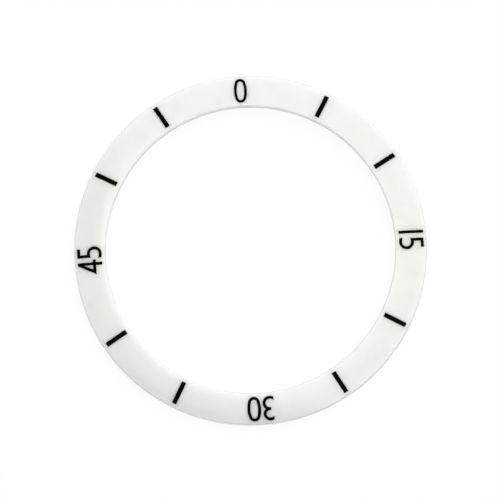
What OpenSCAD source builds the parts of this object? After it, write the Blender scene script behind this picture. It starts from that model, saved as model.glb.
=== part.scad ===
// Watch bezel insert: a domed white ring with an engraved 60-minute scale.
// The scale's numerals and bars are pockets in the dome, each filled with black enamel.
// An adhesive ring lies in a recess in the back and bonds the insert to its bezel.
// Origin: on the ring's axis, in the plane of the adhesive's bonding face. +Z leaves the
// dome and +Y points at the scale's zero.

/* [Ring] */
// Outside diameter of the ring
ring_od = 38; // [37.5:0.1:38.5]
// Width of the band between the rim and the bore
band_w = 3.4; // [3.3:0.05:3.5]
// Height of the dome's outer edge above the back lands
rim_h = 0.8; // [0.7:0.05:0.9]
// Height of the dome's inner edge above the back lands
dome_h = 1.2; // [1.1:0.05:1.4]
// Width of the bevel on the two top edges
top_bevel = 0.12; // [0.08:0.01:0.15]
// Width of the bevel on the two bottom edges, which leads the insert into its seat
back_bevel = 0.15; // [0.1:0.01:0.2]

/* [Adhesive] */
// Thickness of the adhesive ring
tape_t = 0.15; // [0.12:0.01:0.2]
// Depth of the recess that holds the adhesive ring
recess_d = 0.1; // [0.06:0.01:0.11]
// Width of the bare land between the bore and the recess
inner_land = 0.5; // [0.4:0.05:0.7]
// Width of the bare land between the recess and the rim
outer_land = 0.6; // [0.4:0.05:0.8]
// Gap between the adhesive ring and each wall of its recess
tape_gap = 0.05; // [0.03:0.01:0.1]

/* [Engraving] */
// Distance from the rim to the circle on which every bar and digit is centred
scale_inset = 1.66; // [1.6:0.01:1.75]
// Depth of the pockets below the dome
pocket_d = 0.15; // [0.1:0.01:0.2]
// How far the enamel stops short of the dome
enamel_drop = 0.02; // [0.01:0.005:0.04]
// Length of a minute bar, along the radius
bar_l = 2.53; // [2.3:0.01:2.7]
// Width of a minute bar
bar_w = 0.5; // [0.4:0.01:0.6]

/* [Digits] */
// Height of every digit
digit_h = 2.64; // [2.4:0.02:2.7]
// Width of the engraved strokes
stroke_w = 0.32; // [0.24:0.02:0.36]
// Width of the strokes of the lone zero at the top of the scale, which are finer
lone_stroke_w = 0.29; // [0.24:0.01:0.34]
// Width of the lone zero
lone_zero_w = 1.39; // [1.3:0.01:1.5]
// Width of the zero of 30
zero_w = 1.48; // [1.4:0.01:1.6]
// Radius of a zero's rounded top and bottom, as a share of its width
zero_end_share = 0.42; // [0.4:0.01:0.45]
// Width of the three
three_w = 1.2; // [1.15:0.01:1.3]
// Length of the stub at the three's waist
three_stub = 0.12; // [0.05:0.01:0.2]
// Height of the three's waist above the digit's middle
three_waist_rise = 0.05; // [0.02:0.01:0.12]
// Radius of the curves that end the three's head and foot
three_hook_r = 0.82; // [0.75:0.01:1.2]
// Width of the four
four_w = 1.62; // [1.4:0.01:1.7]
// Distance from the centre of the four's stem to the right end of its crossbar
four_tail = 0.45; // [0.3:0.01:0.5]
// Depth of the four's crossbar below the digit's middle
four_bar_drop = 0.48; // [0.4:0.01:0.6]
// Width of the five
five_w = 1.26; // [1.2:0.01:1.3]
// Length of the five's top bar
five_bar_l = 1; // [0.8:0.01:1.1]
// Distance from the left end of the five's foot to its stem
five_stem_inset = 0.06; // [0:0.01:0.1]
// Height of the top of the five's bowl above the digit's middle
five_bowl_rise = 0.12; // [0.06:0.01:0.18]
// Radius of the curves that end the five's bowl
five_hook_r = 1.25; // [1.1:0.05:1.4]

/* [Numerals] */
// Gap between the digits of 15
gap_15 = 0.47; // [0.35:0.01:0.6]
// Gap between the digits of 30
gap_30 = 0.19; // [0.12:0.01:0.3]
// Gap between the digits of 45
gap_45 = 0.17; // [0.12:0.01:0.3]
// How far the lone zero sits clockwise of its minute
shift_00 = 0.03; // [-0.1:0.01:0.1]
// How far the 15 sits clockwise of its minute
shift_15 = 0.08; // [-0.1:0.01:0.1]
// How far the 30 sits clockwise of its minute
shift_30 = 0.02; // [-0.1:0.01:0.1]
// How far the 45 sits clockwise of its minute
shift_45 = -0.06; // [-0.1:0.01:0.1]

/* [Hidden] */

// Smoothness of the ring and of the digits' arcs
$fn = 180;
digit_fn = 64;

outer_r = ring_od / 2;
inner_r = outer_r - band_w;
recess_inner_r = inner_r + inner_land;
recess_outer_r = outer_r - outer_land;

// The back lands sit above the origin by what the adhesive stands proud of them
land_z = tape_t - recess_d;
recess_z = land_z + recess_d;
rim_z = land_z + rim_h;
dome_z = land_z + dome_h;

// The dome's section is an arc, level at the bore and falling to the rim
dome_drop = dome_h - rim_h;
dome_r = (band_w * band_w + dome_drop * dome_drop) / (2 * dome_drop);
dome_centre_z = dome_z - dome_r;

scale_r = outer_r - scale_inset;
minute_angle = 360 / 60;
bar_minutes = [5, 10, 20, 25, 35, 40, 50, 55];

// Heights of the centres of a digit's highest and lowest strokes, about its middle
head = (digit_h - stroke_w) / 2;
foot = -head;

// Overshoot of the cutting shapes past the faces that they cut
over = 0.5;
ceramic_white = [0.93, 0.93, 0.91];
enamel_black = [0.03, 0.03, 0.03];
tape_amber = [0.85, 0.8, 0.68];

// Dome

// Height of the dome at a distance from the axis
function dome_at(r) = dome_centre_z + sqrt(dome_r * dome_r - (r - inner_r) * (r - inner_r));

// A point as far beyond b as a is before it
function beyond(a, b) = 2 * b - a;

// Section of everything that lies deeper than a depth below the dome
module deep_section(depth) {
    intersection() {
        translate([inner_r, dome_centre_z]) circle(dome_r - depth);
        translate([inner_r - over, 0]) square([band_w + 2 * over, dome_z]);
    }
}

module below_dome(depth) {
    rotate_extrude() deep_section(depth);
}

// Section of the ring with its bevels and recess, still open at the top
module wall_section() {
    rim_low = [outer_r, rim_z - top_bevel];
    rim_high = [outer_r - top_bevel, dome_at(outer_r - top_bevel)];
    bore_high = [inner_r + top_bevel, dome_z];
    bore_low = [inner_r, dome_z - top_bevel];
    polygon([
        [inner_r + back_bevel, land_z], [recess_inner_r, land_z],
        [recess_inner_r, recess_z], [recess_outer_r, recess_z],
        [recess_outer_r, land_z], [outer_r - back_bevel, land_z],
        [outer_r, land_z + back_bevel], rim_low, beyond(rim_low, rim_high),
        [scale_r, dome_z + over], beyond(bore_low, bore_high), bore_low, [inner_r, land_z + back_bevel]
    ]);
}

module ring_blank() {
    rotate_extrude() intersection() {
        wall_section();
        translate([inner_r, dome_centre_z]) circle(dome_r);
    }
}

// Digits, each drawn upright with its left end at x = 0 and its middle at y = 0

// Points along an arc from its start up to just before its end
function arc(centre, r, from, to, steps) =
    [for (i = [0:steps - 1]) let (a = from + (to - from) * i / steps) centre + r * [cos(a), sin(a)]];

// A stroke bent about the origin, from one angle round to the other
module bent_stroke(r, from, to) {
    reach = 2 * r;
    intersection() {
        difference() {
            circle(r + stroke_w / 2, $fn = digit_fn);
            circle(r - stroke_w / 2, $fn = digit_fn);
        }
        polygon(concat([[0, 0]], arc([0, 0], reach, from, to, 4), [reach * [cos(to), sin(to)]]));
    }
}

// Keeps what lies to the right of a left end
module from_left_end(x) {
    intersection() {
        children();
        translate([x, -digit_h]) square([2 * digit_h, 2 * digit_h]);
    }
}

// An oval of four arcs that run into each other without a corner
module oval(w, h, end_r) {
    end_y = h / 2 - end_r;
    side_r = (w * w / 4 + end_y * end_y - end_r * end_r) / (w - 2 * end_r);
    side_x = side_r - w / 2;
    // Height at which a side's arc touches an end's
    joint_y = end_y + end_r * end_y / (side_r - end_r);
    intersection() {
        translate([-side_x, 0]) circle(side_r);
        translate([side_x, 0]) circle(side_r);
        square([2 * w, 2 * joint_y], center = true);
    }
    for (end = [-1, 1]) translate([0, end * end_y]) circle(end_r, $fn = digit_fn);
}

module zero(w, stroke) {
    end_r = zero_end_share * w;
    translate([w / 2, 0]) difference() {
        oval(w, digit_h, end_r);
        oval(w - 2 * stroke, digit_h - 2 * stroke, end_r - stroke);
    }
}

module one() {
    translate([0, -digit_h / 2]) square([stroke_w, digit_h]);
}

// The flat curves at the left of the bowls: one ends a bowl's top, one ends its bottom
module top_hook(bowl_x, y, r) {
    translate([bowl_x, y - r]) bent_stroke(r, 90, 135);
}

module bottom_hook(bowl_x, y, r) {
    translate([bowl_x, y + r]) bent_stroke(r, 225, 270);
}

module three() {
    upper_bowl_r = (head - three_waist_rise) / 2;
    lower_bowl_r = (three_waist_rise - foot) / 2;
    bowl_x = three_w - stroke_w / 2 - lower_bowl_r;
    from_left_end(0) {
        top_hook(bowl_x, head, three_hook_r);
        bottom_hook(bowl_x, foot, three_hook_r);
    }
    translate([bowl_x, head - upper_bowl_r]) bent_stroke(upper_bowl_r, -90, 90);
    translate([bowl_x, foot + lower_bowl_r]) bent_stroke(lower_bowl_r, -90, 90);
    translate([bowl_x - three_stub, three_waist_rise - stroke_w / 2]) square([three_stub, stroke_w]);
}

module four() {
    stem_x = four_w - four_tail;
    stem_left = stem_x - stroke_w / 2;
    bar_top = -four_bar_drop + stroke_w / 2;
    bar_bottom = bar_top - stroke_w;
    // The diagonal runs from the crossbar's left end to the top of the stem
    slope = (digit_h / 2 - bar_bottom) / stem_left;
    diagonal_w = stroke_w * sqrt(1 + 1 / (slope * slope));
    difference() {
        polygon([
            [0, bar_bottom], [stem_left, bar_bottom], [stem_left, -digit_h / 2],
            [stem_left + stroke_w, -digit_h / 2], [stem_left + stroke_w, bar_bottom],
            [four_w, bar_bottom], [four_w, bar_top], [stem_left + stroke_w, bar_top],
            [stem_left + stroke_w, digit_h / 2], [stem_left, digit_h / 2]
        ]);
        polygon([
            [diagonal_w + stroke_w / slope, bar_top], [stem_left, bar_top],
            [stem_left, bar_bottom + slope * (stem_left - diagonal_w)]
        ]);
    }
}

module five() {
    bowl_r = (five_bowl_rise - foot) / 2;
    bowl_x = five_w - stroke_w / 2 - bowl_r;
    from_left_end(five_stem_inset) top_hook(bowl_x, five_bowl_rise, five_hook_r);
    from_left_end(0) bottom_hook(bowl_x, foot, five_hook_r);
    translate([bowl_x, foot + bowl_r]) bent_stroke(bowl_r, -90, 90);
    translate([five_stem_inset, 0]) {
        translate([0, five_bowl_rise]) square([stroke_w, digit_h / 2 - five_bowl_rise]);
        translate([0, digit_h / 2 - stroke_w]) square([five_bar_l, stroke_w]);
    }
}

// Scale

// Puts an outline on the band at its minute, with its top towards the rim
module at_minute(minute) {
    rotate([0, 0, -minute * minute_angle]) translate([0, scale_r]) children();
}

module bar_outline(minute) {
    at_minute(minute) square([bar_w, bar_l], center = true);
}

// Places one digit of a numeral, whose left end is at the offset from the numeral's own
module in_numeral(minute, numeral_w, shift, offset) {
    at_minute(minute) translate([shift - numeral_w / 2 + offset, 0]) children();
}

module zero_00() {
    in_numeral(0, lone_zero_w, shift_00, 0) zero(lone_zero_w, lone_stroke_w);
}

numeral_w_15 = stroke_w + gap_15 + five_w;
numeral_w_30 = three_w + gap_30 + zero_w;
numeral_w_45 = four_w + gap_45 + five_w;

module one_15() {
    in_numeral(15, numeral_w_15, shift_15, 0) one();
}

module five_15() {
    in_numeral(15, numeral_w_15, shift_15, stroke_w + gap_15) five();
}

module three_30() {
    in_numeral(30, numeral_w_30, shift_30, 0) three();
}

module zero_30() {
    in_numeral(30, numeral_w_30, shift_30, three_w + gap_30) zero(zero_w, stroke_w);
}

module four_45() {
    in_numeral(45, numeral_w_45, shift_45, 0) four();
}

module five_45() {
    in_numeral(45, numeral_w_45, shift_45, four_w + gap_45) five();
}

module all_outlines() {
    for (minute = bar_minutes) bar_outline(minute);
    zero_00();
    one_15();
    five_15();
    three_30();
    zero_30();
    four_45();
    five_45();
}

// Turns outlines into the column of space that they cover, up to above the dome
module column(top) {
    translate([0, 0, recess_z]) linear_extrude(top - recess_z) children();
}

// Black enamel that fills a pocket from its floor to just under the dome
module enamel() {
    color(enamel_black) difference() {
        intersection() {
            column(dome_z) children();
            below_dome(enamel_drop);
        }
        below_dome(pocket_d);
    }
}

// Pieces

module insert_ring() {
    color(ceramic_white) difference() {
        ring_blank();
        difference() {
            column(dome_z + over) all_outlines();
            below_dome(pocket_d);
        }
    }
}

module adhesive_ring() {
    color(tape_amber) difference() {
        cylinder(r = recess_outer_r - tape_gap, h = tape_t);
        translate([0, 0, -over]) cylinder(r = recess_inner_r + tape_gap, h = tape_t + 2 * over);
    }
}

module minute_bar(minute) {
    enamel() bar_outline(minute);
}

insert_ring();
adhesive_ring();
minute_bar(5);  // minute_bar_05
minute_bar(10);  // minute_bar_10
minute_bar(20);  // minute_bar_20
minute_bar(25);  // minute_bar_25
minute_bar(35);  // minute_bar_35
minute_bar(40);  // minute_bar_40
minute_bar(50);  // minute_bar_50
minute_bar(55);  // minute_bar_55
enamel() zero_00();  // numeral_00_zero
enamel() one_15();  // numeral_15_one
enamel() five_15();  // numeral_15_five
enamel() three_30();  // numeral_30_three
enamel() zero_30();  // numeral_30_zero
enamel() four_45();  // numeral_45_four
enamel() five_45();  // numeral_45_five
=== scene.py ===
import math

import bpy
from mathutils import Matrix, Vector

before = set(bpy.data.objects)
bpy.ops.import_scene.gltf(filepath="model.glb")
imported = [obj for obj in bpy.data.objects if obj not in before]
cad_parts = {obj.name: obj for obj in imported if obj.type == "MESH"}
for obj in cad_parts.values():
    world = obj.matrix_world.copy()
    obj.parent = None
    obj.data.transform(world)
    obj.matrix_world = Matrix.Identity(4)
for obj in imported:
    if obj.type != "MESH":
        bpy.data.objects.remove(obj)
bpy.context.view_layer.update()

# A domed white ceramic ring with black enamel in its engraved scale, lying on a white table
# under two large soft lights that overlap above its first quarter. Lengths are in metres, and
# those of the surface effects in millimetres.

MM = 0.001

# Camera

picture_px = 500
px_per_mm = 9.286
camera_distance = 2.0
# Lean of the camera from straight above the ring, and the compass point that it leans to,
# clockwise from the scale's zero
camera_lean = math.radians(8.44)
camera_compass = math.radians(177.5)
# Compass point of the scale that is at the top of the picture
picture_top = math.radians(3.7)
# Pixel at which the ring's axis stands, at the height of the scale
axis_px = (250.5, 249.5)
scale_height = 1.15 * MM

# Studio

plain_white = (1, 1, 1, 1)
table_size = 0.5
table_white = (0.9, 0.9, 0.9, 1)
table_shadow_share = 0.15
# A little over 1, because the lit share of the table is a little under it
table_glow = 1.035
sky_strength = 0.5
light_distance = 1.2

# Surface effects

# Each grows from nothing to full over this part of a noise that runs from 0 to 1
cloud_range = (0.3, 0.7)
line_range = (0.35, 0.65)
scratched_range = (0.5, 0.6)
pit_range = (0.85, 1)
fibre_range = (0.56, 0.68)
# How far the noise of a line moves on in each millimetre round the ring, where 1 is the next line
line_wander = 0.12

# White ceramic

# Its clouds go from a faint olive to a plain white
ceramic_olive = (0.849, 0.852, 0.811, 1)
ceramic_white = (0.884, 0.882, 0.862, 1)
ceramic_cloud_size = 3
# Its ground walls and back scatter more light at the surface, and their colour is also painted lighter to
# lift the shade that falls on faces that don't look upward
ceramic_ground_painted_lift = (0.97, 0.975, 0.95, 1)
# How far light runs inside it, and the share of that for red, green and blue
ceramic_depth = 1.25 * MM
ceramic_depth_share = (1.02, 1, 1.12)
ceramic_ior = 2.1
# How far a ground face and a polished one look upward
ground_upward = 0.3
polished_upward = 0.9
polished_roughness = (0.08, 0.13)
ground_roughness = (0.38, 0.6)
grain_size = 0.05
polish_spacing = 0.02
grinding_spacing = 0.07
ceramic_polish_height = 0.00005
ceramic_scratch_height = -0.0003
grinding_height = 0.003

# Scratches, on the ceramic and the enamel alike

scratch_spacing = 2.5
# Half the width of a scratch, as a share of the spacing
scratch_half_share = 0.01
scratch_bend_size = 4
scratched_patch_size = 1.2
# How much rougher a polished face is in a scratch
scratch_roughness = 0.1

# Black enamel

enamel_black = (0.0004, 0.0004, 0.0005, 1)
enamel_grey = (0.0016, 0.0016, 0.0016, 1)
enamel_roughness = (0.18, 0.3)
enamel_shine = 0.02
enamel_flow_size = 0.4
enamel_flow_height = 0.002
enamel_polish_height = 0.0002
pit_size = 0.04
pit_height = -0.002

# Adhesive film

film_glue = (0.62, 0.56, 0.42, 1)
film_fibre = (0.84, 0.8, 0.68, 1)
film_roughness = (0.25, 0.45)
film_patch_size = 1.5
film_soaked_share = 0.3
fibre_width = 0.07
fibre_length = 0.8
fibre_curl = 0.4
fibre_height = 0.01
# Directions of the layers of fibres, in degrees
fibre_turns = (0, 37, 80, 118, 151)


def compass_direction(compass, lean):
    """Unit vector that leans from straight up towards a compass point, clockwise from +Y."""
    side = math.sin(lean)
    return Vector((side * math.sin(compass), side * math.cos(compass), math.cos(lean)))


def across_view(back):
    """The picture's right and up, for a camera that looks along -back."""
    top = compass_direction(picture_top, math.pi / 2)
    up = (top - back * top.dot(back)).normalized()
    return up.cross(back), up


def make_camera():
    """A camera high above the ring, framed by where the ring stands in the picture."""
    data = bpy.data.cameras.new("photo_camera")
    camera = bpy.data.objects.new("photo_camera", data)
    bpy.context.scene.collection.objects.link(camera)
    back = compass_direction(camera_compass, camera_lean)
    right, up = across_view(back)
    metres_per_px = MM / px_per_mm
    aside = (picture_px / 2 - axis_px[0]) * metres_per_px
    above = (axis_px[1] - picture_px / 2) * metres_per_px
    target = Vector((0, 0, scale_height)) + right * aside + up * above
    camera.location = target + back * camera_distance
    camera.rotation_euler = Matrix((right, up, back)).transposed().to_euler()
    picture_width = picture_px * metres_per_px
    data.lens = data.sensor_width * camera_distance / picture_width
    bpy.context.scene.camera = camera


# Node helpers


def add_node(tree, kind, inputs=(), **settings):
    """A new node with its settings, whose inputs are values or the sockets that feed them."""
    node = tree.nodes.new(kind)
    for name, value in settings.items():
        setattr(node, name, value)
    for name, value in dict(inputs).items():
        if isinstance(value, bpy.types.NodeSocket):
            tree.links.new(value, node.inputs[name])
        else:
            node.inputs[name].default_value = value
    return node


def calculate(tree, operation, *values):
    """One arithmetic step. Each value is a number or a socket."""
    return add_node(tree, "ShaderNodeMath", enumerate(values), operation=operation).outputs[0]


def between(tree, share, low, high):
    """A value that goes from low to high as the share goes from 0 to 1."""
    names = ("Value", "To Min", "To Max")
    return add_node(tree, "ShaderNodeMapRange", zip(names, (share, low, high))).outputs[0]


def ramp(tree, value, start, end):
    """A share that goes smoothly from 0 at the start to 1 at the end."""
    inputs = {"Value": value, "From Min": start, "From Max": end}
    return add_node(tree, "ShaderNodeMapRange", inputs, interpolation_type="SMOOTHSTEP").outputs[0]


# A Mix node has sockets for each kind of data. Values go in at 2 and 3 and come out at 0, and
# colours go in at 6 and 7 and come out at 2.


def blend_values(tree, share, first, second):
    """The first value where the share is 0, and the second where it is 1."""
    return add_node(tree, "ShaderNodeMix", {0: share, 2: first, 3: second}).outputs[0]


def blend_colours(tree, share, first, second):
    """The first colour where the share is 0, and the second where it is 1."""
    inputs = {0: share, 6: first, 7: second}
    return add_node(tree, "ShaderNodeMix", inputs, data_type="RGBA").outputs[2]


def new_material(name):
    """An empty material, its node tree and its output."""
    material = bpy.data.materials.new(name)
    material.use_nodes = True
    tree = material.node_tree
    tree.nodes.clear()
    return material, tree, tree.nodes.new("ShaderNodeOutputMaterial")


def new_group(name, inputs, output):
    """An empty node group with its inputs, each a name and the socket's kind, and one output."""
    group = bpy.data.node_groups.new(name, "ShaderNodeTree")
    for socket_name, kind in inputs.items():
        group.interface.new_socket(socket_name, in_out="INPUT", socket_type=kind)
    group.interface.new_socket(output, in_out="OUTPUT", socket_type="NodeSocketFloat")
    return group, group.nodes.new("NodeGroupInput"), group.nodes.new("NodeGroupOutput")


def place_group(tree, group, inputs):
    """The output of a group that is placed with its own inputs."""
    return add_node(tree, "ShaderNodeGroup", inputs, node_tree=group).outputs[0]


# Studio


def seen_as_white(tree):
    """1 for what the camera sees, straight or through a gloss or a clear piece."""
    path = tree.nodes.new("ShaderNodeLightPath")
    seen = calculate(tree, "MAXIMUM", path.outputs["Is Camera Ray"], path.outputs["Is Glossy Ray"])
    return calculate(tree, "MAXIMUM", seen, path.outputs["Is Transmission Ray"])


def make_world():
    """An even sky that lights the ring softly, and is seen as plain white."""
    world = bpy.data.worlds.new("soft_studio")
    bpy.context.scene.world = world
    world.use_nodes = True
    tree = world.node_tree
    tree.nodes.clear()
    lit = add_node(tree, "ShaderNodeBackground", {"Color": plain_white, "Strength": sky_strength})
    white = add_node(tree, "ShaderNodeBackground", {"Color": plain_white, "Strength": 1})
    shaders = {0: seen_as_white(tree), 1: lit.outputs[0], 2: white.outputs[0]}
    mix = add_node(tree, "ShaderNodeMixShader", shaders)
    output = tree.nodes.new("ShaderNodeOutputWorld")
    tree.links.new(mix.outputs[0], output.inputs["Surface"])


def make_table():
    """A white table under the ring, on which the camera sees a light shadow."""
    half = table_size / 2
    corners = [(-half, -half, 0), (half, -half, 0), (half, half, 0), (-half, half, 0)]
    mesh = bpy.data.meshes.new("table")
    mesh.from_pydata(corners, [], [(0, 1, 2, 3)])
    table = bpy.data.objects.new("table", mesh)
    bpy.context.scene.collection.objects.link(table)
    material, tree, output = new_material("table_white")
    share = calculate(tree, "MULTIPLY", seen_as_white(tree), 1 - table_shadow_share)
    lit = add_node(tree, "ShaderNodeBsdfDiffuse", {"Color": table_white})
    white = add_node(tree, "ShaderNodeEmission", {"Strength": table_glow})
    mix = add_node(tree, "ShaderNodeMixShader", {0: share, 1: lit.outputs[0], 2: white.outputs[0]})
    tree.links.new(mix.outputs[0], output.inputs["Surface"])
    mesh.materials.append(material)


def make_soft_light(name, compass, lean, size, radiance):
    """A square soft light that faces the ring, leaning in degrees towards a compass point.

    Its radiance is what a mirror would show of it.
    """
    data = bpy.data.lights.new(name, "AREA")
    data.shape = "SQUARE"
    data.size = size
    # A flat light's radiance is its power over pi and over its area
    data.energy = radiance * size * size * math.pi
    light = bpy.data.objects.new(name, data)
    bpy.context.scene.collection.objects.link(light)
    back = compass_direction(math.radians(compass), math.radians(lean))
    light.location = back * light_distance
    light.rotation_euler = back.to_track_quat("Z", "Y").to_euler()


# Effects that several finishes share


def scaled(tree, place, scale):
    """A place or direction times a number."""
    return add_node(tree, "ShaderNodeVectorMath", {0: place, "Scale": scale}, operation="SCALE").outputs[0]


def moved(tree, place, shift):
    """A place moved by another vector."""
    return add_node(tree, "ShaderNodeVectorMath", {0: place, 1: shift}, operation="ADD").outputs[0]


def noise(tree, place, size, detail=2):
    """The outputs of a noise whose clouds are about as wide as the size."""
    density = calculate(tree, "DIVIDE", 1, size)
    inputs = {"Vector": place, "Scale": density, "Detail": detail}
    return add_node(tree, "ShaderNodeTexNoise", inputs).outputs


def radius_and_height(tree, place):
    """Distance from the ring's axis, and height above the table."""
    across, along, up = add_node(tree, "ShaderNodeSeparateXYZ", {0: place}).outputs
    squares = [calculate(tree, "MULTIPLY", side, side) for side in (across, along)]
    return calculate(tree, "SQRT", calculate(tree, "ADD", *squares)), up


def make_mottling():
    """Soft clouds of a given size, between 0 and 1."""
    inputs = {"Place": "NodeSocketVector", "Cloud Size": "NodeSocketFloat"}
    group, given, result = new_group("mottling", inputs, "Clouds")
    clouds = noise(group, given.outputs["Place"], given.outputs["Cloud Size"], detail=3)
    group.links.new(ramp(group, clouds["Fac"], *cloud_range), result.inputs["Clouds"])
    return group


def make_lapping_lines():
    """Fine lines round the ring's axis, as turning and lapping leave them, between 0 and 1."""
    inputs = {"Place": "NodeSocketVector", "Line Spacing": "NodeSocketFloat"}
    group, given, result = new_group("lapping_lines", inputs, "Lines")
    radius, up = radius_and_height(group, given.outputs["Place"])
    # Lines run at one height on the walls, and at one radius on the dome and the back
    track = calculate(group, "ADD", radius, up)
    count = calculate(group, "DIVIDE", track, given.outputs["Line Spacing"])
    place = add_node(group, "ShaderNodeCombineXYZ", {"Z": count}).outputs[0]
    # Each line wanders and fades a little on its way round
    wander = scaled(group, given.outputs["Place"], line_wander)
    lines = noise(group, moved(group, place, wander), size=1)
    group.links.new(ramp(group, lines["Fac"], *line_range), result.inputs["Lines"])
    return group


def make_hair_scratches():
    """Hair-fine marks of handling, 1 in a scratch and 0 beside it."""
    inputs = {"Place": "NodeSocketVector", "Spacing": "NodeSocketFloat"}
    group, given, result = new_group("hair_scratches", inputs, "Scratches")
    place = given.outputs["Place"]
    bent = moved(group, place, noise(group, place, scratch_bend_size)["Color"])
    density = calculate(group, "DIVIDE", 1, given.outputs["Spacing"])
    cells = add_node(group, "ShaderNodeTexVoronoi", {"Vector": bent, "Scale": density},
                     feature="DISTANCE_TO_EDGE").outputs["Distance"]
    line = calculate(group, "SUBTRACT", 1, ramp(group, cells, 0, scratch_half_share))
    # Only some patches of the surface are scratched
    kept = ramp(group, noise(group, place, scratched_patch_size)["Fac"], *scratched_range)
    group.links.new(calculate(group, "MULTIPLY", line, kept), result.inputs["Scratches"])
    return group


# Finishes


def in_millimetres(tree):
    """Place on the piece in millimetres."""
    place = tree.nodes.new("ShaderNodeTexCoord").outputs["Object"]
    return scaled(tree, place, 1 / MM)


def bumped(tree, height):
    """The normal of a surface whose relief is given in millimetres."""
    return add_node(tree, "ShaderNodeBump", {"Height": height, "Distance": MM, "Strength": 1}).outputs[0]


def make_ceramic(mottling, lapping_lines, hair_scratches):
    """Polished and faintly translucent on its dome, ground on its walls and back, whose colour is also
    painted lighter to lift their shade.
    """
    material, tree, output = new_material("white_ceramic_finish")
    place = in_millimetres(tree)
    clouds = place_group(tree, mottling, {"Place": place, "Cloud Size": ceramic_cloud_size})
    grain = place_group(tree, mottling, {"Place": place, "Cloud Size": grain_size})
    polish = place_group(tree, lapping_lines, {"Place": place, "Line Spacing": polish_spacing})
    grinding = place_group(tree, lapping_lines, {"Place": place, "Line Spacing": grinding_spacing})
    scratches = place_group(tree, hair_scratches, {"Place": place, "Spacing": scratch_spacing})
    facing = tree.nodes.new("ShaderNodeTexCoord").outputs["Normal"]
    upward = add_node(tree, "ShaderNodeSeparateXYZ", {0: facing}).outputs["Z"]
    polished = ramp(tree, upward, ground_upward, polished_upward)
    tone = blend_colours(tree, clouds, ceramic_olive, ceramic_white)
    # Faces that don't look upward get the lighter ground colour: partly their real ground finish, partly
    # painted light that lifts their shade
    tone = blend_colours(tree, polished, ceramic_ground_painted_lift, tone)
    dome_roughness = between(tree, clouds, *polished_roughness)
    dome_roughness = calculate(tree, "MULTIPLY_ADD", scratches, scratch_roughness, dome_roughness)
    wall_roughness = between(tree, grinding, *ground_roughness)
    dome_relief = calculate(tree, "MULTIPLY", polish, ceramic_polish_height)
    dome_relief = calculate(tree, "MULTIPLY_ADD", scratches, ceramic_scratch_height, dome_relief)
    wall_relief = calculate(tree, "ADD", grinding, grain)
    wall_relief = calculate(tree, "MULTIPLY", wall_relief, grinding_height)
    shader = add_node(tree, "ShaderNodeBsdfPrincipled", {
        "Base Color": tone,
        "Roughness": blend_values(tree, polished, wall_roughness, dome_roughness),
        "IOR": ceramic_ior,
        "Subsurface Weight": 1,
        "Subsurface Radius": ceramic_depth_share,
        "Subsurface Scale": ceramic_depth,
        "Normal": bumped(tree, blend_values(tree, polished, wall_relief, dome_relief)),
    })
    tree.links.new(shader.outputs[0], output.inputs["Surface"])
    return material


def make_enamel(mottling, lapping_lines, hair_scratches):
    """Black enamel with a soft gloss and tiny pits, lapped together with the dome."""
    material, tree, output = new_material("black_enamel_finish")
    place = in_millimetres(tree)
    flow = place_group(tree, mottling, {"Place": place, "Cloud Size": enamel_flow_size})
    pits = place_group(tree, mottling, {"Place": place, "Cloud Size": pit_size})
    polish = place_group(tree, lapping_lines, {"Place": place, "Line Spacing": polish_spacing})
    scratches = place_group(tree, hair_scratches, {"Place": place, "Spacing": scratch_spacing})
    tone = blend_colours(tree, flow, enamel_black, enamel_grey)
    roughness = between(tree, flow, *enamel_roughness)
    roughness = calculate(tree, "MULTIPLY_ADD", scratches, scratch_roughness, roughness)
    relief = calculate(tree, "MULTIPLY", flow, enamel_flow_height)
    # Pits are only where the clouds peak
    relief = calculate(tree, "MULTIPLY_ADD", ramp(tree, pits, *pit_range), pit_height, relief)
    relief = calculate(tree, "MULTIPLY_ADD", polish, enamel_polish_height, relief)
    shader = add_node(tree, "ShaderNodeBsdfPrincipled", {
        "Base Color": tone,
        "Roughness": roughness,
        "Specular IOR Level": enamel_shine,
        "Normal": bumped(tree, relief),
    })
    tree.links.new(shader.outputs[0], output.inputs["Surface"])
    return material


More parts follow.
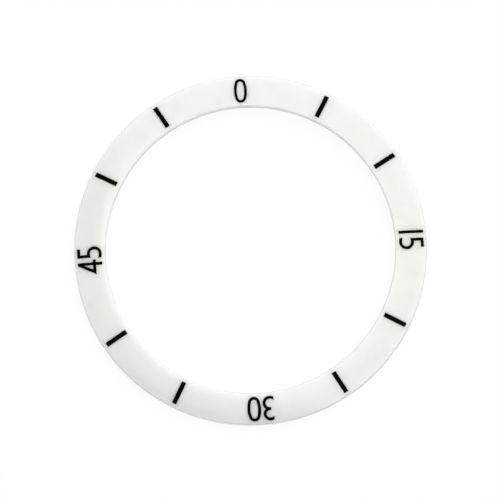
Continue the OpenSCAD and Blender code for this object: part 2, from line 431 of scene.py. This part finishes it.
def fibre_web(tree, place):
    """Fine fibres that lie every way, 1 on a fibre and 0 between."""
    web = 0
    for turn in fibre_turns:
        turned = add_node(tree, "ShaderNodeVectorRotate", {
            "Vector": place,
            "Axis": (0, 0, 1),
            "Angle": math.radians(turn),
        }).outputs[0]
        # Fibres curl a little instead of running straight
        curl = scaled(tree, noise(tree, turned, fibre_length)["Color"], fibre_curl)
        stretch = (1 / fibre_length, 1 / fibre_width, 1)
        strands = add_node(tree, "ShaderNodeVectorMath", {0: moved(tree, turned, curl), 1: stretch},
                           operation="MULTIPLY").outputs[0]
        fibres = ramp(tree, noise(tree, strands, size=1)["Fac"], *fibre_range)
        web = calculate(tree, "MAXIMUM", web, fibres)
    return web


def make_film(mottling):
    """Double-sided film: a pale fibre web soaked in clear adhesive."""
    material, tree, output = new_material("adhesive_film_finish")
    place = in_millimetres(tree)
    fibres = fibre_web(tree, place)
    patches = place_group(tree, mottling, {"Place": place, "Cloud Size": film_patch_size})
    soaked = calculate(tree, "MULTIPLY", patches, film_soaked_share)
    tone = blend_colours(tree, fibres, film_glue, film_fibre)
    tone = blend_colours(tree, soaked, tone, film_glue)
    shader = add_node(tree, "ShaderNodeBsdfPrincipled", {
        "Base Color": tone,
        "Roughness": between(tree, patches, *film_roughness),
        "Normal": bumped(tree, calculate(tree, "MULTIPLY", fibres, fibre_height)),
    })
    tree.links.new(shader.outputs[0], output.inputs["Surface"])
    return material


def finish_nodes():
    """Gives each node of the CAD model its finish. All but the ring and its film are enamel."""
    mottling = make_mottling()
    lapping_lines = make_lapping_lines()
    hair_scratches = make_hair_scratches()
    ceramic = make_ceramic(mottling, lapping_lines, hair_scratches)
    enamel = make_enamel(mottling, lapping_lines, hair_scratches)
    film = make_film(mottling)
    for name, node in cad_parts.items():
        if name == "insert_ring":
            node.material_slots[0].material = ceramic
        elif name == "adhesive_ring":
            node.material_slots[0].material = film
        else:
            node.material_slots[0].material = enamel


bpy.context.scene.view_settings.view_transform = "Standard"
make_camera()
make_world()
make_table()
make_soft_light("high_soft_light", compass=19, lean=40, size=3.0, radiance=0.49)
make_soft_light("side_soft_light", compass=58, lean=39, size=2.0, radiance=0.39)
finish_nodes()
